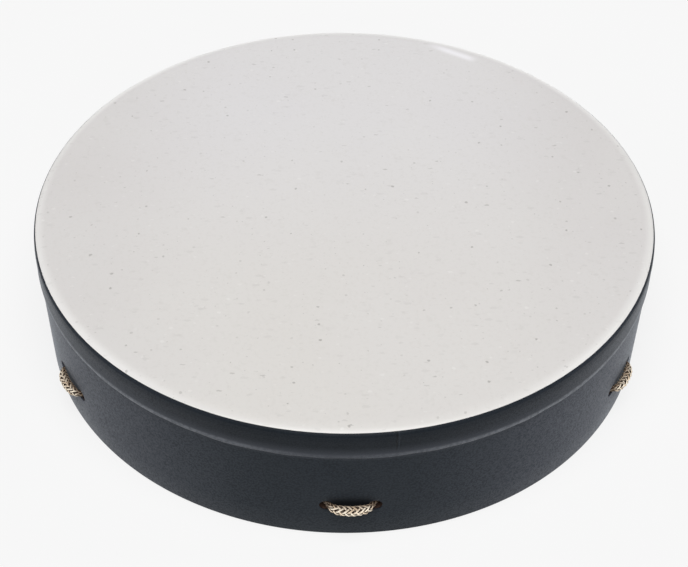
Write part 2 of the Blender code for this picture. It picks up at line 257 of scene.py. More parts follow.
# Grained skins, the vinyl cover and the trim tape: shades are of the grain's creases and of its tops
GRAIN_BEND = (0.6, 0.5)
SKIN_SHEEN = {"Sheen_Weight": 0.16, "Sheen_Roughness": 0.28, "Sheen_Tint": (0.84, 0.92, 1.0, 1.0)}
VINYL = {
    "grain": 950.0, "fine": (2600.0, 2.0, 0.6),
    "new": (0.35, 0.75, (0.0096, 0.0136, 0.0188), (0.0138, 0.0193, 0.0263)),
    # Painted reflection: paler shades that show towards the left and right
    "side_reflection": (0.35, 0.75, (0.048, 0.054, 0.070), (0.080, 0.088, 0.112)),
    "swell": ((24.0, 3.0, 0.5), 0.35, 0.7, 0.35, (0.0190, 0.0240, 0.0305)),
    "reliefs": ((0.25 * MM, 0.25), (0.20 * MM, 0.50), (0.04 * MM, 0.4)),
    "roughness": (0.3, 0.8, 0.56, 0.44),
}
TRIM = {
    "grain": 1300.0, "fine": (2800.0, 2.0, 0.6),
    "new": (0.35, 0.75, (0.0074, 0.0102, 0.0140), (0.0104, 0.0142, 0.0190)),
    # Painted reflection: paler shades that show towards the left and right
    "side_reflection": (0.35, 0.75, (0.034, 0.039, 0.050), (0.056, 0.063, 0.081)),
    "swell": ((30.0, 3.0, 0.5), 0.4, 0.7, 0.3, (0.0140, 0.0178, 0.0222)),
    "reliefs": ((0.2 * MM, 0.3), (0.12 * MM, 0.45), (0.03 * MM, 0.4)),
    "roughness": (0.3, 0.8, 0.55, 0.42),
}
VINYL_SPECULAR = 0.11
TRIM_SPECULAR = 0.10

# Painted reflection: both skins are paler towards the left and right, counted from a line a little left of the
# middle
REFLECTION_MIDDLE = 10.0 * MM
SIDE_REFLECTION_SPREAD = (0.03, 0.23)
RIDGE_HIGHLIGHT_SPREAD = (-0.05, 0.19)
BAND_REFLECTION = (SHELL_DEPTH, BAND_RIDGE, 0.45, 1.15)

# Vinyl: a mottle in its painted side reflection, and a paler stripe below the band
MOTTLE_NOISE = (300.0, 3.0, 0.65)
MOTTLE = (0.48, 0.64, 0.0, 0.55)
MOTTLE_SHADE = (0.115, 0.124, 0.150)
FOOT_STRIPE = (BAND_FOOT - 3.2 * MM, BAND_FOOT, 0.0, 0.75)
FOOT_STRIPE_PATCHES = (0.35, 0.62, 0.6, 1.0)
FOOT_STRIPE_SHADE = (0.050, 0.056, 0.068)

# Painted shadow of the rope on the vinyl above and behind each outer bight: spread as a share of half the hole
# spacing, heights from the holes
ROPE_SHADOW_ON_VINYL = (0.0035, 0.0042, 0.0055)
SHADOW_SPREAD = 1.3
SHADOW_PEAK = 0.97
SHADOW_ABOVE = (11.0 * MM, 3.0 * MM)
SHADOW_BELOW = (-7.0 * MM, -2.0 * MM, 0.0, 0.9)

# Painted light on the trim: a highlight along its lower ridge, and at its seam a painted shade in the gap and a
# painted highlight on the edge, as place across, share and colour
# Painted highlight along the ridge
RIDGE_HIGHLIGHT_RAMP = (BAND_FLARE_TOP, BAND_RIDGE, 1.0, (0.042, 0.047, 0.057))
RIDGE_HIGHLIGHT = (0.205, 0.218, 0.242)
RIDGE_TOP = BAND_RIDGE + 3.0 * MM
RIDGE_FULL = BAND_RIDGE + 0.5 * MM
RIDGE_NOISE = (420.0, 3.0, 0.65)
RIDGE_PATCHES = (0.35, 0.62, 0.45, 1.0)
# Painted shade in the seam's gap, and a painted highlight on its edge
SEAM_PAINTED_LIGHT = [(-1.35 * MM, 0.60, (0.002, 0.0025, 0.003)), (-0.15 * MM, 0.42, (0.027, 0.033, 0.043))]
SEAM_LINE = (0.75 * MM, 0.15 * MM)

# Fibre hoop, with painted shadow in its holes
STREAK_STRETCH = (18.0, 18.0, 900.0)
STREAK_NOISE = (1.0, 4.0, 0.6)
FIBRE_SHADES = (0.3, 0.7, (0.060, 0.032, 0.018), (0.125, 0.072, 0.040))
FIBRE_PULP = ((700.0, 4.0, 0.65), 0.45, 0.75, 0.55, (0.180, 0.112, 0.066))
RESIN = ((14.0, 3.0, 0.5), 0.4, 0.75, 0.45, (0.045, 0.026, 0.016))
STREAK_RELIEF = (0.12 * MM, 0.5)
FIBRE_RELIEF = (0.10 * MM, 0.5)
FIBRE_ROUGHNESS = (0.3, 0.7, 0.92, 0.74)
FIBRE_SPECULAR = 0.3
HOLE_SHADOW = (0.022, 0.009, 0.006)
HOLE_SHADOW_DEPTH = (SHELL_INNER_RADIUS + 0.3 * MM, SHELL_INNER_RADIUS + 2.0 * MM, 0.0, 0.85)
HOLE_SHADOW_HEIGHT = (HOLE_DIAMETER, 0.75 * HOLE_DIAMETER)

# Rope and twine. Fibres and tones are noises: cells per metre along a carrier or ply, and cells round it.
THREAD_NOISE = (1.0, 3.0, 0.6)
ROPE = {
    "fibres": (260.0, 16.0), "shades": (0.3, 0.7, (0.84, 0.69, 0.51), (1.0, 0.94, 0.82)),
    "tones": (9.0, 0.3), "tan": (0.46, 0.66, 0.60, (0.60, 0.40, 0.23)),
    "relief": (0.18 * MM, 0.8), "roughness": (0.3, 0.7, 0.92, 0.78),
}
TWINE = {
    "fibres": (420.0, 12.0), "shades": (0.3, 0.7, (0.24, 0.16, 0.09), (0.46, 0.34, 0.22)),
    "tones": (30.0, 0.5), "tan": (0.4, 0.7, 0.5, (0.56, 0.44, 0.30)),
    "relief": (0.12 * MM, 0.7), "roughness": (0.3, 0.7, 0.75, 0.55),
}
ROPE_SPECULAR = 0.25
TWINE_SPECULAR = 0.4
# Painted shade on the rope's upper side
ROPE_TOP_SHADE = (0.24, 0.48, 0.60, (0.18, 0.110, 0.062))
# Painted light: less of the shade between the carriers on the rope's underside
ROPE_UNDERSIDE_LIGHT = (-0.36, 0.05, 0.25, 1.0)
# Painted shade at the carriers' flanks and where they dip under
ROPE_FLANK = (0.13, 0.24, 0.0, 0.96)
ROPE_DIP = (0.52, 0.22, 0.0, 0.95)
ROPE_CREASE_SHADE = (0.030, 0.016, 0.009)
# Painted shade where the rope lies against the cover and in its hole
ROPE_WALL_SHADE = (0.090, 0.052, 0.028)
WALL_SHADE_INSIDE = (-9.0 * MM, -5.0 * MM)
WALL_SHADE_OUTSIDE = (3.2 * MM, 0.9 * MM, 0.0, 0.85)
CORE_NOISE = (1800.0, 3.0, 0.5)
# Painted shadow: the core is near-black so the gaps between the carriers look shaded
CORE_GAP_SHADOW = (0.35, 0.7, (0.012, 0.006, 0.003), (0.045, 0.024, 0.012))
CORE_RELIEF = (0.1 * MM, 0.6)
CORE_ROUGHNESS = (0.3, 0.7, 0.95, 0.85)
CORE_SPECULAR = 0.2

# Studio
FLOOR_REACH = 30.0
FLOOR_GLOW = 0.787
FLOOR_NOISE = (3.0, 2.0, 0.5)
FLOOR_SHADES = (0.3, 0.7, (0.118, 0.118, 0.118), (0.122, 0.122, 0.122))
FLOOR_ROUGHNESS = (0.3, 0.7, 0.9, 0.95)
FLOOR_SPECULAR = 0.1
KEY_ANGLE = math.radians(52)
KEY_TILT = math.radians(20)
KEY_STRENGTH = 3.79
SKY_OVERHEAD = (0.1, 0.8, 0.016, 0.030)
SKY_FLANK = (0.45, 0.95, 0.0, 0.023)
SKY_BACK = (0.55, 0.95, 0.0, 0.20)
BACKDROP_GLOW = 0.88


def outward(azimuth):
    return np.array([math.sin(azimuth), -math.cos(azimuth), 0.0])


def sideways(azimuth):
    return np.array([math.cos(azimuth), math.sin(azimuth), 0.0])


def unit(vectors):
    return vectors / np.linalg.norm(vectors, axis=-1, keepdims=True)


def link(name, data, *materials):
    item = bpy.data.objects.new(name, data)
    for material in materials:
        data.materials.append(material)
    bpy.context.scene.collection.objects.link(item)
    return item


def finish_piece(item, body, slot, *nodes):
    """Ride on a body and stand for the nodes. The slot is not used."""
    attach(item, body)
    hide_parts(*nodes)


def smooth_shading(mesh, angle=SHARP_ANGLE):
    mesh.shade_smooth()
    mesh.set_sharp_from_angle(angle=angle)


def face_outwards(mesh):
    shape = bmesh.new()
    shape.from_mesh(mesh)
    bmesh.ops.recalc_face_normals(shape, faces=shape.faces)
    shape.to_mesh(mesh)
    shape.free()


def tube_faces(first, steps, sides):
    """Faces of a closed tube whose points begin at the given index: its sides, then its two ends."""
    index = first + np.arange(steps * sides).reshape(steps, sides)
    wrapped = np.roll(index, -1, axis=1)
    quads = np.stack([index[:-1], wrapped[:-1], wrapped[1:], index[1:]], axis=-1).reshape(-1, 4)
    return quads.tolist() + [index[0, ::-1].tolist(), index[-1].tolist()]


# Turned surfaces


def bearing_point(slope, offset, width):
    """Radius and height on the hoop's rounded edge, moved out along the edge's normal."""
    across = BEARING_ROUND_DROP * math.sin(slope)
    along = width * math.cos(slope)
    length = math.hypot(across, along)
    radius = SHELL_OUTER_RADIUS - width + width * math.sin(slope)
    height = SHELL_DEPTH - BEARING_ROUND_DROP + BEARING_ROUND_DROP * math.cos(slope)
    return (radius + offset * across / length, height + offset * along / length)


def bearing_round(offset, width=BEARING_ROUND_WIDTH, first=0.0, count=ROUND_STEPS + 1):
    """Points over the rounded edge, from a slope, or else the flat, to the vertical wall."""
    return [bearing_point(slope, offset, width) for slope in np.linspace(first, QUARTER_TURN, count)]


def band_shoulder(offset, azimuth):
    """Points of the band on the head's shoulder, from the band's upper edge to the vertical wall."""
    edge = BAND_TOP_SLOPE + BAND_TOP_LEAN * (1 - math.cos(azimuth)) / 2
    return bearing_round(offset, SHOULDER_WIDTH, edge, ROUND_STEPS)


def turned_mesh(name, profile, azimuths=EVEN_AZIMUTHS, ripple=None):
    """Turn a closed profile of (radius, height) points round Z. It may be a function of the azimuth."""
    rings = np.array([profile(turn) if callable(profile) else profile for turn in azimuths])
    radii, heights = rings[:, :, 0], rings[:, :, 1]
    turns = azimuths[:, None]
    if ripple:
        radii, heights = ripple(turns, radii, heights)
    points = np.stack([radii * np.sin(turns), -radii * np.cos(turns), heights], axis=2)
    index = np.arange(radii.size).reshape(radii.shape)
    ahead = np.roll(index, -1, axis=0)
    faces = np.stack([index, ahead, np.roll(ahead, -1, axis=1), np.roll(index, -1, axis=1)], axis=-1)
    mesh = bpy.data.meshes.new(name)
    mesh.from_pydata(points.reshape(-1, 3).tolist(), [], faces.reshape(-1, 4).tolist())
    face_outwards(mesh)
    return mesh


def drill_profile():
    """Half outline of a hole's cutter along the drill: plain, then widened where it leaves the outer skin."""
    radius = HOLE_DIAMETER / 2
    outline = [(-DRILL_INSIDE, radius)]
    for turn in np.linspace(0.0, QUARTER_TURN, FLARE_POINTS):
        outline.append((-HOLE_FLARE * (1 - math.sin(turn)), radius + HOLE_FLARE * (1 - math.cos(turn))))
    outline.append((DRILL_OUTSIDE, radius + HOLE_FLARE))
    return outline


def hole_cutter(reach):
    """Twelve drills in parallel pairs. Each one's flare ends where its axis leaves the given radius."""
    outline = drill_profile()
    skin = math.sqrt(reach ** 2 - HALF_SPACING ** 2)
    turns = FULL_TURN * np.arange(HOLE_STEPS)[:, None] / HOLE_STEPS
    points = []
    faces = []
    for anchor in range(ANCHOR_COUNT):
        out = outward(anchor * ANCHOR_PITCH)
        aside = sideways(anchor * ANCHOR_PITCH)
        for side in (-HALF_SPACING, HALF_SPACING):
            faces += tube_faces(len(points), len(outline), HOLE_STEPS)
            for along, radius in outline:
                middle = (skin + along) * out + side * aside + HOLE_HEIGHT * UP
                points += (middle + radius * (np.cos(turns) * aside + np.sin(turns) * UP)).tolist()
    mesh = bpy.data.meshes.new("hole_cutter")
    mesh.from_pydata(points, [], faces)
    face_outwards(mesh)
    return link("hole_cutter", mesh)


def drill(item, reach):
    """Cut the twelve holes and keep the result as the item's own mesh."""
    cutter = hole_cutter(reach)
    holes = item.modifiers.new("rope_holes", "BOOLEAN")
    holes.operation = "DIFFERENCE"
    holes.solver = "EXACT"
    holes.object = cutter
    bpy.context.view_layer.update()
    evaluated = item.evaluated_get(bpy.context.evaluated_depsgraph_get())
    cut = bpy.data.meshes.new_from_object(evaluated)
    item.modifiers.clear()
    item.data = cut
    bpy.data.objects.remove(cutter, do_unlink=True)
    smooth_shading(cut)


def add_shell(material):
    """Fibre hoop: rounded bearing edge at the top, small chamfers at the foot."""
    outside = SHELL_OUTER_RADIUS
    inside = SHELL_INNER_RADIUS
    profile = [(inside, SHELL_DEPTH - BEARING_CHAMFER), (inside + BEARING_CHAMFER, SHELL_DEPTH)]
    profile += bearing_round(0.0)
    profile += [(outside, ROW_TOP), (outside, ROW_FOOT)]
    profile += [(outside, FOOT_CHAMFER), (outside - FOOT_CHAMFER, 0.0)]
    profile += [(inside + FOOT_CHAMFER, 0.0), (inside, FOOT_CHAMFER)]
    profile += [(inside, ROW_FOOT), (inside, ROW_TOP)]
    wall = link("hoop_wall", turned_mesh("hoop_wall", profile), material)
    drill(wall, SHELL_OUTER_RADIUS)
    finish_piece(wall, "hoop", "hoop_fibre", "shell")


def add_cover(material):
    """Vinyl sleeve over the hoop's outside, its foot edge rounded and its holes pressed in at the rim."""
    inner = SHELL_OUTER_RADIUS + LAYER_GAP
    foot = COVER_FOOT_MARGIN
    profile = [(COVER_RADIUS, COVER_TOP), (COVER_RADIUS, ROW_TOP), (COVER_RADIUS, ROW_FOOT)]
    for turn in np.linspace(0.0, QUARTER_TURN, FOOT_POINTS):
        back = COVER_EDGE_ROUND * (1 - math.cos(turn))
        profile.append((COVER_RADIUS - back, foot + COVER_EDGE_ROUND * (1 - math.sin(turn))))
    profile += [(inner, foot), (inner, ROW_FOOT), (inner, ROW_TOP), (inner, COVER_TOP)]
    cover = link("vinyl_cover", turned_mesh("vinyl_cover", profile), material)
    drill(cover, COVER_RADIUS)
    finish_piece(cover, "hoop", "grained_vinyl", "shell_cover")


def add_drumhead(material):
    """Flat film with a rounded shoulder and a collar folded down the hoop's outside."""
    crown = bearing_round(HEAD_OUTER, SHOULDER_WIDTH)
    under = bearing_round(HEAD_INNER)
    shares = [1 - ring / HEAD_RINGS for ring in range(1, HEAD_RINGS)]
    profile = [(crown[0][0] * share, crown[0][1]) for share in reversed(shares)]
    profile += crown
    profile += [(COLLAR_RADIUS, COLLAR_FOOT), (SHELL_OUTER_RADIUS + HEAD_INNER, COLLAR_FOOT)]
    profile += reversed(under)
    profile += [(under[0][0] * share, under[0][1]) for share in shares]
    mesh = turned_mesh("head_film", profile)
    close_discs(mesh, len(profile))
    face_outwards(mesh)
    smooth_shading(mesh)
    finish_piece(link("head_film", mesh, material), "hoop", "head_film", "drumhead")


def close_discs(mesh, width):
    """The turned profile's last stretch joins both discs through the middle; swap it for two flat discs."""
    shape = bmesh.new()
    shape.from_mesh(mesh)
    shape.verts.ensure_lookup_table()
    upper = [shape.verts[step * width] for step in range(HOOP_STEPS)]
    lower = [shape.verts[step * width + width - 1] for step in range(HOOP_STEPS)]
    rims = set(upper) | set(lower)
    sleeve = [face for face in shape.faces if all(vert in rims for vert in face.verts)]
    bmesh.ops.delete(shape, geom=sleeve, context="FACES_ONLY")
    for rim in (upper, lower):
        middle = shape.verts.new((0.0, 0.0, rim[0].co.z))
        for first, second in zip(rim, rim[1:] + rim[:1]):
            shape.faces.new((first, second, middle))
    loose = [edge for edge in shape.edges if not edge.link_faces]
    bmesh.ops.delete(shape, geom=loose, context="EDGES")
    shape.to_mesh(mesh)
    shape.free()


def band_azimuths():
    """Even steps round the hoop, and closer ones at the seam."""
    reach = FULL_TURN / HOOP_STEPS / 2
    even = EVEN_AZIMUTHS[np.abs(EVEN_AZIMUTHS - SEAM_AZIMUTH) > reach]
    return np.sort(np.concatenate([even, SEAM_AZIMUTHS]))


def band_ripple(azimuths, radii, heights):
    """The strip was laid by hand: its lower edge wanders, and its butted ends leave two fine grooves."""
    wave = sum(np.sin(count * azimuths + phase) for count, phase in RIPPLE_WAVES) / len(RIPPLE_WAVES)
    share = np.clip((BAND_FLARE_TOP - heights) / (BAND_FLARE_TOP - BAND_RIDGE), 0.0, 1.0)
    depths = [depth for place, depth in SEAM_PLACES]
    groove = np.interp(azimuths, SEAM_AZIMUTHS, depths, left=0.0, right=0.0)
    upper = np.clip((SEAM_TOP - heights) / SEAM_FADE, 0.0, 1.0)
    lower = np.clip((heights - BAND_FLARE_TOP) / SEAM_FADE + 1.0, 0.0, 1.0)
    floor = np.minimum(radii, COLLAR_RADIUS + BAND_TOP_LIFT)
    radii = np.maximum(radii - SEAM_CUT * groove * upper * lower, floor)
    return radii + RIPPLE_DEPTH * wave * share, heights + RIPPLE_HEIGHT * wave * share


def band_outline(azimuth):
    """From the thin edge on the head's shoulder, down the collar, out to a ridge and in to the cover."""
    first = COLLAR_RADIUS + BAND_TOP_LIFT
    flat = SHELL_OUTER_RADIUS + BAND_FLAT_REACH
    ridge = SHELL_OUTER_RADIUS + BAND_RIDGE_REACH
    foot = COVER_RADIUS + BAND_FOOT_REACH
    shoulder_end = SHELL_DEPTH - BEARING_ROUND_DROP
    shares = np.linspace(0.0, 1.0, BAND_STEPS + 1)
    outline = band_shoulder(HEAD_OUTER + BAND_TOP_LIFT, azimuth)
    for share in shares[1:]:
        swell = math.sin(share * QUARTER_TURN)
        height = shoulder_end + (BAND_FLAT_TOP - shoulder_end) * share
        outline.append((first + (flat - first) * swell, height))
    for share in shares:
        height = BAND_FLARE_TOP + (BAND_RIDGE - BAND_FLARE_TOP) * share
        outline.append((flat + (ridge - flat) * share ** 2, height))
    for turn in np.linspace(0.0, QUARTER_TURN, BAND_STEPS // 2 + 1)[1:]:
        back = (ridge - foot) * (1 - math.cos(turn))
        outline.append((ridge - back, BAND_RIDGE + (BAND_FOOT - BAND_RIDGE) * math.sin(turn)))
    outline.append((COVER_RADIUS + BAND_FOOT_REACH / 2, BAND_FOOT))
    outline.append((COVER_RADIUS + BAND_FOOT_REACH / 2, COVER_TOP))
    outline.append((COLLAR_RADIUS + BAND_TOP_LIFT / 2, COLLAR_FOOT))
    return outline + band_shoulder(HEAD_OUTER + BAND_TOP_LIFT / 2, azimuth)[::-1]


def add_band(material):
    """Trim strip over the collar, lapped onto the cover and butted at a seam."""
    mesh = turned_mesh("collar_strip", band_outline, band_azimuths(), band_ripple)
    smooth_shading(mesh)
    finish_piece(link("collar_strip", mesh, material), "hoop", "collar_trim", "collar_band")


# Rope and twine


def even_line(points, step, closed=False):
    """Places along a smooth curve through the given points, and points there, at even steps."""
    given = np.array(points)
    if closed:
        padded = np.concatenate([given[-1:], given, given[:2]])
    else:
        padded = np.concatenate([2 * given[:1] - given[1:2], given, 2 * given[-1:] - given[-2:-1]])
    share = np.linspace(0.0, 1.0, LINE_STEPS, endpoint=False)[:, None]
    fine = []
    for before, first, last, after in zip(padded, padded[1:], padded[2:], padded[3:]):
        rise = (last - before) / 2
        fall = (after - first) / 2
        bend = 2 * first - 2 * last + rise + fall
        lean = 3 * last - 3 * first - 2 * rise - fall
        fine.append(first + share * (rise + share * (lean + share * bend)))
    fine = np.concatenate(fine + [padded[-2:-1]])
    lengths = np.concatenate([[0.0], np.cumsum(np.linalg.norm(np.diff(fine, axis=0), axis=1))])
    count = max(2, round(lengths[-1] / step)) + 1
    places = np.linspace(0.0, lengths[-1], count)
    line = np.stack([np.interp(places, lengths, fine[:, axis]) for axis in range(3)], axis=1)
    return places, line


def line_frames(line, closed=False):
    """Two directions square to the line, carried along it without twist."""
    if closed:
        ahead = np.roll(line[:-1], -1, axis=0) - np.roll(line[:-1], 1, axis=0)
        tangents = unit(np.concatenate([ahead, ahead[:1]]))
    else:
        tangents = unit(np.gradient(line, axis=0))
    normal = np.cross(tangents[0], UP)
    if np.linalg.norm(normal) < NEARLY_UPRIGHT:
        normal = np.cross(tangents[0], [1.0, 0.0, 0.0])
    normals = [unit(normal)]
    for tangent in tangents[1:]:
        normals.append(unit(normals[-1] - np.dot(normals[-1], tangent) * tangent))
    normals = np.array(normals)
    return normals, np.cross(tangents, normals)


def around_line(turns, frames):
    """Directions from a line, turned by an angle at each of its points."""
    return np.cos(turns)[:, None] * frames[0] + np.sin(turns)[:, None] * frames[1]


def tube_rings(centres, out, width, height, sides):
    """Rings of an oval tube along the centres, whose height lies along out."""
    along = unit(np.gradient(centres, axis=0))
    aside = unit(np.cross(along, out))
    square = np.cross(aside, along)
    turns = -QUARTER_TURN + FULL_TURN * np.arange(sides) / sides
    across = width / 2 * np.cos(turns)[None, :, None] * aside[:, None, :]
    upright = height / 2 * np.sin(turns)[None, :, None] * square[:, None, :]
    return centres[:, None, :] + across + upright


class TubeMesh:
    """Collects tubes into one mesh. A point's row has its position, its marks and its height on the rope."""

    def __init__(self):
        self.rows = []
        self.faces = []
        self.slots = []
        self.count = 0

    def add(self, rings, along, level, heights, slot=0):
        """A tube. Its marks are the place along it, the place round it and the level."""
        steps, sides = rings.shape[:2]
        faces = tube_faces(self.count, steps, sides)
        upper = (rings[:, :, 2] - heights[:, None]) / ROPE_DIAMETER
        marks = np.broadcast_arrays(along[:, None], np.arange(sides) / sides, level[:, None], upper)
        rows = np.concatenate([rings, np.stack(marks, axis=2)], axis=2)
        self.rows.append(rows.reshape(steps * sides, -1))
        self.faces += faces
        self.slots += [slot] * len(faces)
        self.count += steps * sides

    def build(self, name):
        rows = np.concatenate(self.rows)
        mesh = bpy.data.meshes.new(name)
        mesh.from_pydata(rows[:, :3].tolist(), [], self.faces)
        marks = mesh.attributes.new("strand", "FLOAT_VECTOR", "POINT")
        marks.data.foreach_set("vector", rows[:, 3:6].astype(np.float32).ravel())
        upper = mesh.attributes.new("upper", "FLOAT", "POINT")
        upper.data.foreach_set("value", rows[:, 6].astype(np.float32))
        mesh.polygons.foreach_set("material_index", np.array(self.slots, dtype=np.int32))
        smooth_shading(mesh, TUBE_SHARP_ANGLE)
        return mesh


def braid_parts(places, line, pitch=BRAID_PITCH, girth=1.0, closed=False):
    """Centre lines of the carriers: (centres, outward direction, place along, level) for each one."""
    frames = line_frames(line, closed)
    middle = ROPE_DIAMETER / 2 - CARRIER_HEIGHT / 2 - CARRIER_WEAVE
    parts = []
    for carrier in range(CARRIERS):
        way = 1 if carrier % 2 == 0 else -1
        crossings = 2 * (carrier // 2) + way * CARRIERS * places / pitch
        wander = CARRIER_WANDER * np.sin(FULL_TURN * places / pitch + CARRIER_PHASE * carrier)
        out = around_line(FULL_TURN * crossings / CARRIERS + wander, frames)
        level = way * np.cos(QUARTER_TURN * (crossings - 0.5))
        reach = girth * (middle + CARRIER_WEAVE * level)
        parts.append((line + reach[:, None] * out, out, places + carrier * CARRIER_SHIFT, (level + 1) / 2))
    return parts


def braid_mesh(name, places, line, parts, span=slice(None), girth=1.0):
    """The braid's stretch between two indices of its line: carriers over a dark core."""
    rope = TubeMesh()
    size = np.broadcast_to(girth, len(places))[:, None, None]
    for centres, out, along, level in parts:
        rings = tube_rings(centres, out, CARRIER_WIDTH * size, CARRIER_HEIGHT * size, CARRIER_SIDES)
        rope.add(rings[span], along[span], level[span], line[span, 2])
    thickness = 2 * BRAID_CORE_RADIUS * size
    core = tube_rings(line, line_frames(line)[0], thickness, thickness, CORE_SIDES)
    rope.add(core[span], places[span], np.zeros(len(places))[span], line[span, 2], 1)
    return rope.build(name)


def outer_bight_route(azimuth):
    """From one hole of a pair, along the wall and into the other hole."""
    half = [(across, COVER_RADIUS + off) for across, off, girth in BIGHT_ROUTE]
    half.append((HALF_SPACING, BUTT_PLACE))
    route = []
    for across, out in [(-across, out) for across, out in reversed(half[1:])] + half:
        droop = BIGHT_DROOP * (1 - (across / HALF_SPACING) ** 2)
        place = out * outward(azimuth) + across * sideways(azimuth)
        route.append(place + (HOLE_HEIGHT - droop) * UP)
    return route


def add_outer_bights(materials):
    """A bight of rope outside the wall at each pair of holes."""
    widths = [across for across, off, girth in BIGHT_ROUTE]
    girths = [girth for across, off, girth in BIGHT_ROUTE]
    for anchor in range(ANCHOR_COUNT):
        azimuth = anchor * ANCHOR_PITCH
        places, line = even_line(outer_bight_route(azimuth), BRAID_STEP)
        girth = np.interp(np.abs(line @ sideways(azimuth)), widths, girths)
        parts = braid_parts(places, line, girth=girth)
        name = f"rope_outer_{anchor + 1}"
        mesh = braid_mesh(name, places, line, parts, girth=girth)
        finish_piece(link(name, mesh, *materials), "hoop", "braided_rope", f"outer_bight_{anchor + 1}")


def inner_turn_route(azimuth):
    """In over the ring from one anchor, round its inner side, and out under it to the next anchor."""
    out = outward(azimuth)
    aside = sideways(azimuth)
    lean = -math.tan(HALF_PITCH) * math.pi * TURN_RADIUS
    turn = []
    for share in np.linspace(0.0, 1.0, INNER_TURN_POINTS):
        angle = QUARTER_TURN + math.pi * share
        spread = BIGHT_SPREAD * (1 - 2 * share)
        spread += (lean + 2 * BIGHT_SPREAD) * share * (1 - share) * (1 - 2 * share)
        reach = RING_REACH + TURN_RADIUS * math.cos(angle)
        height = GRIP_HEIGHT + TURN_RADIUS * math.sin(angle)
        turn.append(reach * out + spread * aside + height * UP)
    upper = turn[0] + LEG_LENGTH * outward(azimuth + HALF_PITCH)
    lower = turn[-1] + LEG_LENGTH * outward(azimuth - HALF_PITCH)
    return [upper] + turn + [lower]


def strand_route(leg_end, azimuth, end_gap):
    """From a leg's end to the strand's end in its hole, not counting the leg's end itself."""
    out = outward(azimuth)
    across = leg_end - np.dot(leg_end, out) * out
    end = (BUTT_PLACE - end_gap) * out + np.array([across[0], across[1], HOLE_HEIGHT])
    return [leg_end + (end - leg_end) * step / STRAND_POINTS for step in range(1, STRAND_POINTS + 1)]


def add_lacing(materials):
    """Six lengths of rope, each from one anchor in to the ring and out to the next, split at the ring."""
    for corner in range(ANCHOR_COUNT):
        after = (corner + 1) % ANCHOR_COUNT
        turn = inner_turn_route(corner * ANCHOR_PITCH + HALF_PITCH)
        upper = strand_route(turn[0], after * ANCHOR_PITCH, UPPER_END_GAP)
        lower = strand_route(turn[-1], corner * ANCHOR_PITCH, LOWER_END_GAP)
        places, line = even_line(upper[::-1] + turn + lower, BRAID_STEP)
        parts = braid_parts(places, line)
        middle = turn[len(turn) // 2]
        split = int(np.argmin(np.linalg.norm(line - middle, axis=1)))
        spans = [(after, "left", slice(0, split + 1), turn[0], [f"inner_bight_{corner + 1}"])]
        spans.append((corner, "right", slice(split, None), turn[-1], []))
        for anchor, side, span, hinge, extra in spans:
            strand = f"strand_{anchor + 1}_{side}"
            name = f"rope_{strand}"
            item = link(name, braid_mesh(name, places, line, parts, span), *materials)
            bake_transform(item)
            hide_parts(strand, *extra)


def ring_route():
    """A hexagon with round corners, each corner in an inner bight."""
    points = []
    for corner in range(ANCHOR_COUNT):
        azimuth = corner * ANCHOR_PITCH + HALF_PITCH
        middle = (RING_REACH - RING_CORNER_RADIUS) * outward(azimuth) + GRIP_HEIGHT * UP
        for turn in np.linspace(-HALF_PITCH, HALF_PITCH, CORNER_POINTS):
            points.append(middle + RING_CORNER_RADIUS * outward(azimuth + turn))
    return points


def add_ring(materials):
    """The gather ring: a closed braid with a whole number of turns."""
    places, line = even_line(ring_route(), BRAID_STEP, closed=True)
    pitch = places[-1] / round(places[-1] / BRAID_PITCH)
    parts = braid_parts(places, line, pitch, closed=True)
    mesh = braid_mesh("rope_ring", places, line, parts)
    finish_piece(link("rope_ring", mesh, *materials), "grip", "braided_rope", "gather_ring")


def whipping_route(middle, along, across):
    """Twine wound in one helix round a rope, whose ends run straight off for one twine diameter."""
    third = np.cross(along, across)
    points = []
    for step in range(TWINE_TURNS * TURN_POINTS + 1):
        angle = FULL_TURN * step / TURN_POINTS
        advance = TWINE_PITCH * (step / TURN_POINTS - TWINE_TURNS / 2)
        round_rope = math.cos(angle) * across + math.sin(angle) * third
        points.append(middle + advance * along + WHIPPING_RADIUS * round_rope)
    first = points[0] - TWINE_DIAMETER * third
    last = points[-1] + TWINE_DIAMETER * third
    return [first] + points + [last]


def add_whipping(name, material, body, node, middle, along, across):
    """Plies twisted one way along the twine's helix."""
    places, line = even_line(whipping_route(middle, along, across), PLY_STEP)
    frames = line_frames(line)
    twine = TubeMesh()
    for ply in range(PLIES):
        out = around_line(FULL_TURN * (places / PLY_PITCH + ply / PLIES), frames)
        centres = line + (TWINE_DIAMETER / 2 - PLY_RADIUS) * out
        rings = tube_rings(centres, out, 2 * PLY_RADIUS, 2 * PLY_RADIUS, PLY_SIDES)
        twine.add(rings, places + ply * CARRIER_SHIFT, np.ones(len(places)), line[:, 2])
    finish_piece(link(name, twine.build(name), material), body, "whipping_twine", node)


def add_whippings(material):
    """Twine over the butted ends of the ring, and over those of the lacing on one strand."""
    side = ANCHOR_COUNT // 2 * ANCHOR_PITCH
    middle = RING_APOTHEM * outward(side) + GRIP_HEIGHT * UP
    add_whipping("twine_ring", material, "grip", "ring_whipping", middle, sideways(side), outward(side))
    anchor = int(WHIPPED_STRAND.split("_")[1]) - 1
    turn = inner_turn_route((anchor - 1) * ANCHOR_PITCH + HALF_PITCH)
    end = strand_route(turn[0], anchor * ANCHOR_PITCH, UPPER_END_GAP)[-1]
    along = unit(end - turn[0])
    across = unit(UP - np.dot(UP, along) * along)
    middle = turn[0] + WHIPPING_PLACE * along
    add_whipping("twine_lacing", material, WHIPPED_STRAND, "lacing_whipping", middle, along, across)


# Materials


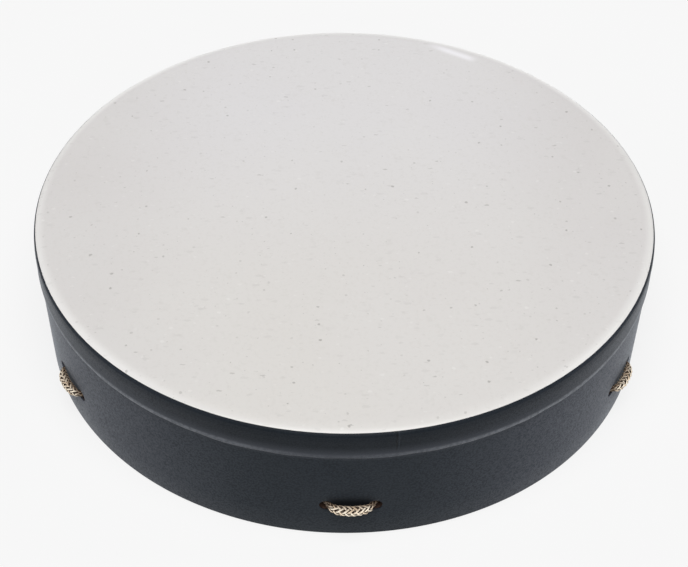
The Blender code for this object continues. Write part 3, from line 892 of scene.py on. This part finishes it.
class Nodes:
    """Short forms for building a node tree. A material's colour is laid in coats."""

    def __init__(self, owner):
        owner.use_nodes = True
        self.owner = owner
        self.tree = owner.node_tree
        self.shader = self.tree.nodes.get("Principled BSDF")
        self.colour = None
        self.normal = None

    def add(self, kind, **settings):
        node = self.tree.nodes.new("ShaderNode" + kind)
        for key, value in settings.items():
            setattr(node, key, value)
        return node

    def feed(self, socket, value):
        """A socket takes another socket or a plain value."""
        if isinstance(value, bpy.types.NodeSocket):
            self.tree.links.new(value, socket)
        else:
            socket.default_value = value

    def fill(self, node, *values, **named):
        """Feed a node's first sockets and those of these names, with _ for a space. Returns its outputs."""
        for socket, value in zip(node.inputs, values):
            self.feed(socket, value)
        for name, value in named.items():
            self.feed(node.inputs[name.replace("_", " ")], value)
        return node.outputs

    def mapped(self, vector, kind="POINT", **values):
        return self.fill(self.add("Mapping", vector_type=kind), vector, **values)["Vector"]

    def place(self, scale=(1.0, 1.0, 1.0)):
        """The piece's own coordinates, in metres times the scale."""
        return self.mapped(self.add("TexCoord").outputs["Object"], Scale=scale)

    def parts(self, vector):
        """The vector's X, Y and Z."""
        return self.fill(self.add("SeparateXYZ"), vector).values()

    def noise(self, vector, scale, detail, roughness):
        node = self.add("TexNoise")
        return self.fill(node, vector, Scale=scale, Detail=detail, Roughness=roughness)["Fac"]

    def voronoi(self, vector, scale, feature="F1", dimensions="3D"):
        node = self.add("TexVoronoi", feature=feature, voronoi_dimensions=dimensions)
        return self.fill(node, vector, Scale=scale)

    def math(self, operation, first, second=0.0, kind="Math"):
        return self.fill(self.add(kind, operation=operation), first, second)[0]

    def bent(self, vector, scale, reach):
        """The vector, moved about by a smooth noise."""
        swirl = self.fill(self.add("TexNoise"), vector, Scale=scale)["Color"]
        shift = self.math("SUBTRACT", swirl, (0.5, 0.5, 0.5), "VectorMath")
        shift = self.math("MULTIPLY", shift, (reach, reach, reach), "VectorMath")
        return self.math("ADD", vector, shift, "VectorMath")

    def product(self, first, *others):
        for other in others:
            first = self.math("MULTIPLY", first, other)
        return first

    def total(self, first, *others):
        for other in others:
            first = self.math("ADD", first, other)
        return first

    def size(self, value):
        return self.math("ABSOLUTE", value)

    def span(self, value, low, high, out_low=0.0, out_high=1.0):
        """The value's place between low and high, eased and clamped."""
        node = self.add("MapRange", interpolation_type="SMOOTHSTEP")
        return self.fill(node, value, low, high, out_low, out_high)["Result"]

    def mix(self, share, first, second):
        node = self.add("Mix", data_type="RGBA")
        colours = [socket for socket in node.inputs if socket.type == "RGBA"]
        for socket, value in zip(colours, (first, second)):
            self.feed(socket, (*value, 1.0) if isinstance(value, tuple) else value)
        return [socket for socket in self.fill(node, share) if socket.type == "RGBA"][0]

    def shades(self, value, low, high, first, second):
        """From one colour to another as the value goes from low to high."""
        return self.mix(self.span(value, low, high), first, second)

    def start(self, value, *shades):
        self.colour = self.shades(value, *shades)

    def cover(self, share, shade):
        """Turn the colour towards a shade by a share."""
        self.colour = self.mix(share, self.colour, shade)

    def stain(self, value, low, high, share, shade):
        """Turn the colour towards a shade as the value goes from low to high."""
        self.cover(self.span(value, low, high, 0.0, share), shade)

    def layer(self, place, noise, *stain):
        """Stain the colour by a noise, and return the noise."""
        value = self.noise(place, *noise)
        self.stain(value, *stain)
        return value

    def bump(self, height, distance, strength):
        """Add a relief to those before it."""
        node = self.add("Bump")
        if self.normal:
            self.feed(node.inputs["Normal"], self.normal)
        self.normal = self.fill(node, Height=height, Distance=distance, Strength=strength)["Normal"]

    def finish(self, roughness, specular, **sockets):
        if self.normal:
            sockets["Normal"] = self.normal
        self.fill(self.shader, self.colour, Roughness=roughness, Specular_IOR_Level=specular, **sockets)
        return self.owner


def new_material(name):
    return Nodes(bpy.data.materials.new(name))


def axis_distance(nodes, x, y):
    """Distance from the drum's axis."""
    square = nodes.total(nodes.math("POWER", x, 2.0), nodes.math("POWER", y, 2.0))
    return nodes.math("SQRT", square)


def flecks(nodes, bend, scale, reach, chance, strength, stretch, angle):
    """Specks of pulp, one at most in each cell: how much of the speck's colour each point gets."""
    cells = nodes.mapped(bend, Rotation=(0.0, 0.0, angle), Scale=(stretch, 1.0, 1.0))
    cell = nodes.voronoi(cells, scale, dimensions="2D")
    odds = nodes.fill(nodes.add("SeparateColor"), cell["Color"])
    size = nodes.span(odds["Red"], 1 - chance, 1.0, LEAST_FLECK * reach, reach)
    inside = nodes.math("SUBTRACT", size, cell["Distance"])
    edge = nodes.span(inside, *[share * reach for share in FLECK_EDGE])
    some = nodes.math("GREATER_THAN", odds["Red"], 1 - chance)
    depth = nodes.span(odds["Green"], 0.0, 1.0, LEAST_DARKNESS * strength, strength)
    return nodes.product(edge, some, depth)


def glare_streak(nodes, place):
    """How much of the painted glare, a highlight of a light near the back right rim, shows at each point of the
    head.
    """
    length = math.dist(STREAK_START, STREAK_END)
    turn = math.atan2(STREAK_END[1] - STREAK_START[1], STREAK_END[0] - STREAK_START[0])
    turned = nodes.mapped(place, "TEXTURE", Location=(*STREAK_START, 0.0), Rotation=(0.0, 0.0, turn))
    x, y, z = nodes.parts(turned)
    across = nodes.span(nodes.size(y), STREAK_WIDTH, 0.0)
    begin = nodes.span(x, *[share * length for share in STREAK_RISE])
    end = nodes.span(x, *[share * length for share in STREAK_FALL])
    return nodes.product(across, begin, end, STREAK_SHARE)


def head_film_material():
    """Off-white film that looks like pressed paper: flecks, faint fibres, soft clouds and a fine tooth. Painted
    light: a warm front and pale back, shaded sides, a lit rim and a glare.
    """
    nodes = new_material("speckled_film")
    place = nodes.place()
    x, y, z = nodes.parts(place)
    # Painted light: warmer at the front, paler and cooler at the back
    nodes.start(y, *HEAD_LIGHT_SHADES)
    # Painted shade towards the left and right
    nodes.stain(nodes.size(x), *HEAD_SIDE_SHADE)
    nodes.layer(place, *TINT)
    clouds = nodes.layer(place, *CLOUD)
    pulp = nodes.layer(place, *PULP)
    nodes.layer(place, *SMUDGE)
    # Painted shade at the front of the rim, painted highlight at its sides and back
    rim_light = nodes.mix(nodes.span(y, *RIM_BACK), nodes.shades(y, *RIM_LIGHT_SHADES), RIM_BACK_HIGHLIGHT)
    nodes.cover(nodes.span(axis_distance(nodes, x, y), *RIM), rim_light)
    bend = nodes.bent(place, *FLECK_BEND)
    for kinds, shade in ((FLECKS, FLECK_SHADE), (PALE_FLECKS, PALE_SHADE)):
        for kind in kinds:
            nodes.cover(flecks(nodes, bend, *kind), shade)
    # Painted highlight: the glare of a light near the back right rim
    nodes.cover(glare_streak(nodes, place), GLARE_HIGHLIGHT)
    nodes.bump(nodes.noise(place, *TOOTH_NOISE), *TOOTH_RELIEF)
    nodes.bump(pulp, *PULP_RELIEF)
    return nodes.finish(nodes.span(clouds, *HEAD_ROUGHNESS), HEAD_SPECULAR)


def grained_skin(nodes, place, skin):
    """Lay a new skin's colour and relief, cells with creases. Returns the colour of its painted side
    reflection, and its roughness.
    """
    bent = nodes.bent(place, GRAIN_BEND[0] * skin["grain"], GRAIN_BEND[1] / skin["grain"])
    cells = nodes.voronoi(bent, skin["grain"], "SMOOTH_F1")
    grain = nodes.math("SUBTRACT", 1.0, cells["Distance"])
    nodes.start(grain, *skin["new"])
    swell = nodes.layer(place, *skin["swell"])
    fine = nodes.noise(place, *skin["fine"])
    for height, relief in zip((swell, grain, fine), skin["reliefs"]):
        nodes.bump(height, *relief)
    return nodes.shades(grain, *skin["side_reflection"]), nodes.span(grain, *skin["roughness"])


def side_reflection(nodes, across, near, far):
    """How much painted reflection a skin gets: none near the front, and most at the left and right."""
    return nodes.span(nodes.size(nodes.total(across, REFLECTION_MIDDLE)), near, far)


def rope_shadow_mask(nodes, x, y, z):
    """How much painted shadow of the rope shows on the cover above and behind each outer bight."""
    azimuth = nodes.math("ARCTAN2", x, nodes.product(y, -1.0))
    wave = nodes.math("COSINE", nodes.product(azimuth, ANCHOR_COUNT))
    edge = math.cos(SHADOW_SPREAD * ANCHOR_COUNT * HALF_SPACING / COVER_RADIUS)
    height = nodes.math("SUBTRACT", z, HOLE_HEIGHT)
    above = nodes.span(height, *SHADOW_ABOVE)
    return nodes.product(nodes.span(wave, edge, SHADOW_PEAK), above, nodes.span(height, *SHADOW_BELOW))


def vinyl_material():
    """Charcoal vinyl with a fine leather grain, painted paler at the sides as reflection, paler below the band,
    and with painted shadow by the rope.
    """
    nodes = new_material("charcoal_vinyl")
    place = nodes.place()
    x, y, z = nodes.parts(place)
    pale, roughness = grained_skin(nodes, place, VINYL)
    mottle = nodes.noise(place, *MOTTLE_NOISE)
    pale = nodes.mix(nodes.span(mottle, *MOTTLE), pale, MOTTLE_SHADE)
    # Painted reflection towards the left and right
    nodes.cover(side_reflection(nodes, x, *SIDE_REFLECTION_SPREAD), pale)
    nodes.cover(nodes.product(nodes.span(z, *FOOT_STRIPE), nodes.span(mottle, *FOOT_STRIPE_PATCHES)), FOOT_STRIPE_SHADE)
    # Painted shadow of the rope on the vinyl; the roughness rises there too
    painted_shade = rope_shadow_mask(nodes, x, y, z)
    nodes.cover(painted_shade, ROPE_SHADOW_ON_VINYL)
    return nodes.finish(nodes.math("MAXIMUM", roughness, painted_shade), VINYL_SPECULAR, **SKIN_SHEEN)


def seam_line(nodes, x, y, z, place):
    """How much of a line along the band's seam shows, at a place across it."""
    across = nodes.total(nodes.product(x, math.cos(SEAM_AZIMUTH)), nodes.product(y, math.sin(SEAM_AZIMUTH)))
    line = nodes.span(nodes.size(nodes.math("SUBTRACT", across, place)), *SEAM_LINE)
    above = nodes.span(z, RIDGE_TOP, BAND_FLARE_TOP)
    return nodes.product(line, above, nodes.math("LESS_THAN", y, 0.0))


def trim_material():
    """Thin black tape with a finer and flatter grain than the vinyl's, with a painted highlight along its ridge
    and painted light at its seam.
    """
    nodes = new_material("black_trim")
    place = nodes.place()
    x, y, z = nodes.parts(place)
    pale, roughness = grained_skin(nodes, place, TRIM)
    # Painted reflection towards the left and right, more towards the ridge
    nodes.cover(nodes.product(side_reflection(nodes, x, *SIDE_REFLECTION_SPREAD), nodes.span(z, *BAND_REFLECTION)), pale)
    # Painted highlight: a broad one over the flare to the ridge, then a narrow patchy line along the ridge,
    # strongest at the sides
    nodes.stain(z, *RIDGE_HIGHLIGHT_RAMP)
    patchy = nodes.span(nodes.noise(place, *RIDGE_NOISE), *RIDGE_PATCHES)
    line = nodes.product(nodes.span(z, RIDGE_TOP, RIDGE_FULL), side_reflection(nodes, x, *RIDGE_HIGHLIGHT_SPREAD), patchy)
    nodes.cover(line, RIDGE_HIGHLIGHT)
    # Painted shade in the seam's gap and a painted highlight on its edge
    for across, share, shade in SEAM_PAINTED_LIGHT:
        nodes.cover(nodes.product(seam_line(nodes, x, y, z, across), share), shade)
    return nodes.finish(roughness, TRIM_SPECULAR, **SKIN_SHEEN)


def hole_shadow(nodes, place):
    """How much painted shadow shows: most in the holes, none on the hoop's inside."""
    x, y, z = nodes.parts(place)
    deep = nodes.span(axis_distance(nodes, x, y), *HOLE_SHADOW_DEPTH)
    off = nodes.size(nodes.math("SUBTRACT", z, HOLE_HEIGHT))
    return nodes.product(deep, nodes.span(off, *HOLE_SHADOW_HEIGHT))


def fibre_material():
    """Brown wound fibreboard: plies show as long streaks round the hoop, with dark resin spots."""
    nodes = new_material("brown_fibre")
    streaks = nodes.noise(nodes.place(STREAK_STRETCH), *STREAK_NOISE)
    place = nodes.place()
    nodes.start(streaks, *FIBRE_SHADES)
    pulp = nodes.layer(place, *FIBRE_PULP)
    nodes.layer(place, *RESIN)
    # Painted shadow in the holes
    nodes.cover(hole_shadow(nodes, place), HOLE_SHADOW)
    nodes.bump(streaks, *STREAK_RELIEF)
    nodes.bump(pulp, *FIBRE_RELIEF)
    return nodes.finish(nodes.span(pulp, *FIBRE_ROUGHNESS), FIBRE_SPECULAR)


def thread_noise(nodes, along, around, along_scale, around_scale):
    """A noise stretched along a carrier or ply."""
    place = nodes.product(along, along_scale), nodes.product(around, around_scale)
    return nodes.noise(nodes.fill(nodes.add("CombineXYZ"), *place)["Vector"], *THREAD_NOISE)


def threads(nodes, look):
    """Lay a carrier's or ply's colour and relief. Returns its roughness, the place round it and its level."""
    along, around, level = nodes.parts(nodes.add("Attribute", attribute_name="strand").outputs["Vector"])
    fibres = thread_noise(nodes, along, around, *look["fibres"])
    nodes.start(fibres, *look["shades"])
    nodes.stain(thread_noise(nodes, along, around, *look["tones"]), *look["tan"])
    nodes.bump(fibres, *look["relief"])
    return nodes.span(fibres, *look["roughness"]), around, level


def shade_at_wall(nodes):
    """How much painted shade shows where the rope lies against the cover and in its hole."""
    x, y, z = nodes.parts(nodes.place())
    off = nodes.math("SUBTRACT", axis_distance(nodes, x, y), COVER_RADIUS)
    return nodes.product(nodes.span(off, *WALL_SHADE_INSIDE), nodes.span(off, *WALL_SHADE_OUTSIDE))


def rope_material():
    """Cream braid: fine fibres and tan tones, with painted shade on its upper side, between the carriers and
    where it meets the wall.
    """
    nodes = new_material("cream_braid")
    roughness, around, level = threads(nodes, ROPE)
    upper = nodes.add("Attribute", attribute_name="upper").outputs["Fac"]
    # Painted shade on the upper side
    nodes.stain(upper, *ROPE_TOP_SHADE)
    # Painted shade at the wall and in the hole
    nodes.cover(shade_at_wall(nodes), ROPE_WALL_SHADE)
    flank = nodes.size(nodes.math("SUBTRACT", around, 0.5))
    # Less painted shade on the lit underside
    crease_share = nodes.span(upper, *ROPE_UNDERSIDE_LIGHT)
    # Painted shade between the carriers and where they dip under
    for painted_shade in (nodes.span(flank, *ROPE_FLANK), nodes.span(level, *ROPE_DIP)):
        nodes.cover(nodes.product(painted_shade, crease_share), ROPE_CREASE_SHADE)
    return nodes.finish(roughness, ROPE_SPECULAR)


def core_material():
    """Dark lint that shows between the carriers, near-black as painted shadow in the braid's gaps."""
    nodes = new_material("rope_core")
    lint = nodes.noise(nodes.place(), *CORE_NOISE)
    nodes.start(lint, *CORE_GAP_SHADOW)
    nodes.bump(lint, *CORE_RELIEF)
    return nodes.finish(nodes.span(lint, *CORE_ROUGHNESS), CORE_SPECULAR)


def twine_material():
    """Waxed tan twine: fibres along each ply, and paler tones."""
    nodes = new_material("tan_twine")
    return nodes.finish(threads(nodes, TWINE)[0], TWINE_SPECULAR)


def floor_material():
    """A pale floor that glows a little, and that the drum's open back is seen through from below."""
    nodes = new_material("pale_floor")
    soft = nodes.noise(nodes.place(), *FLOOR_NOISE)
    above = nodes.shader.outputs["BSDF"]
    below = nodes.add("BsdfTransparent").outputs["BSDF"]
    side = nodes.add("NewGeometry").outputs["Backfacing"]
    one_sided = nodes.fill(nodes.add("MixShader"), side, above, below)["Shader"]
    nodes.fill(nodes.tree.nodes["Material Output"], Surface=one_sided)
    nodes.start(soft, *FLOOR_SHADES)
    glow = {"Emission_Color": WHITE, "Emission_Strength": FLOOR_GLOW}
    return nodes.finish(nodes.span(soft, *FLOOR_ROUGHNESS), FLOOR_SPECULAR, **glow)


# Studio


def add_floor():
    mesh = bpy.data.meshes.new("floor")
    corners = [(x * FLOOR_REACH, y * FLOOR_REACH, 0.0) for x, y in ((-1, -1), (1, -1), (1, 1), (-1, 1))]
    mesh.from_pydata(corners, [], [(0, 1, 2, 3)])
    link("floor", mesh, floor_material())


def add_key_light():
    """A wide overhead softbox, far enough away to light the floor evenly."""
    light = bpy.data.lights.new("key", "SUN")
    light.energy = KEY_STRENGTH
    light.angle = KEY_ANGLE
    link("key", light).rotation_euler = (KEY_TILT, 0.0, 0.0)


def add_world():
    """A dim room, paler overhead, at the left and right and behind. The camera sees a brighter backdrop."""
    world = bpy.data.worlds.new("studio")
    bpy.context.scene.world = world
    nodes = Nodes(world)
    x, y, z = nodes.parts(nodes.add("TexCoord").outputs["Generated"])
    seen = nodes.product(nodes.add("LightPath").outputs["Is Camera Ray"], BACKDROP_GLOW)
    flank = nodes.span(nodes.size(x), *SKY_FLANK)
    sky = nodes.total(nodes.span(z, *SKY_OVERHEAD), flank, nodes.span(y, *SKY_BACK), seen)
    nodes.fill(nodes.tree.nodes["Background"], Color=WHITE, Strength=sky)


def add_camera():
    """The photograph's camera."""
    data = bpy.data.cameras.new("camera")
    data.sensor_width = SENSOR_WIDTH
    data.lens = FOCAL_PIXELS * SENSOR_WIDTH / PICTURE_WIDTH
    item = link("camera", data)
    level = Vector(outward(CAMERA_AZIMUTH))
    back = math.cos(CAMERA_ELEVATION) * level + math.sin(CAMERA_ELEVATION) * Vector(UP)
    flat_right = Vector(sideways(CAMERA_AZIMUTH))
    flat_up = back.cross(flat_right)
    right = math.cos(CAMERA_ROLL) * flat_right + math.sin(CAMERA_ROLL) * flat_up
    up = back.cross(right)
    turn = Matrix((right, up, back)).transposed().to_4x4()
    item.matrix_world = Matrix.Translation(CAMERA_TARGET + CAMERA_DISTANCE * back) @ turn
    bpy.context.scene.camera = item


def main():
    add_camera()
    add_world()
    add_key_light()
    add_floor()
    add_shell(fibre_material())
    add_cover(vinyl_material())
    add_drumhead(head_film_material())
    add_band(trim_material())
    braid = [rope_material(), core_material()]
    add_outer_bights(braid)
    add_lacing(braid)
    add_ring(braid)
    add_whippings(twine_material())
    bpy.context.scene.view_settings.view_transform = "Standard"


main()
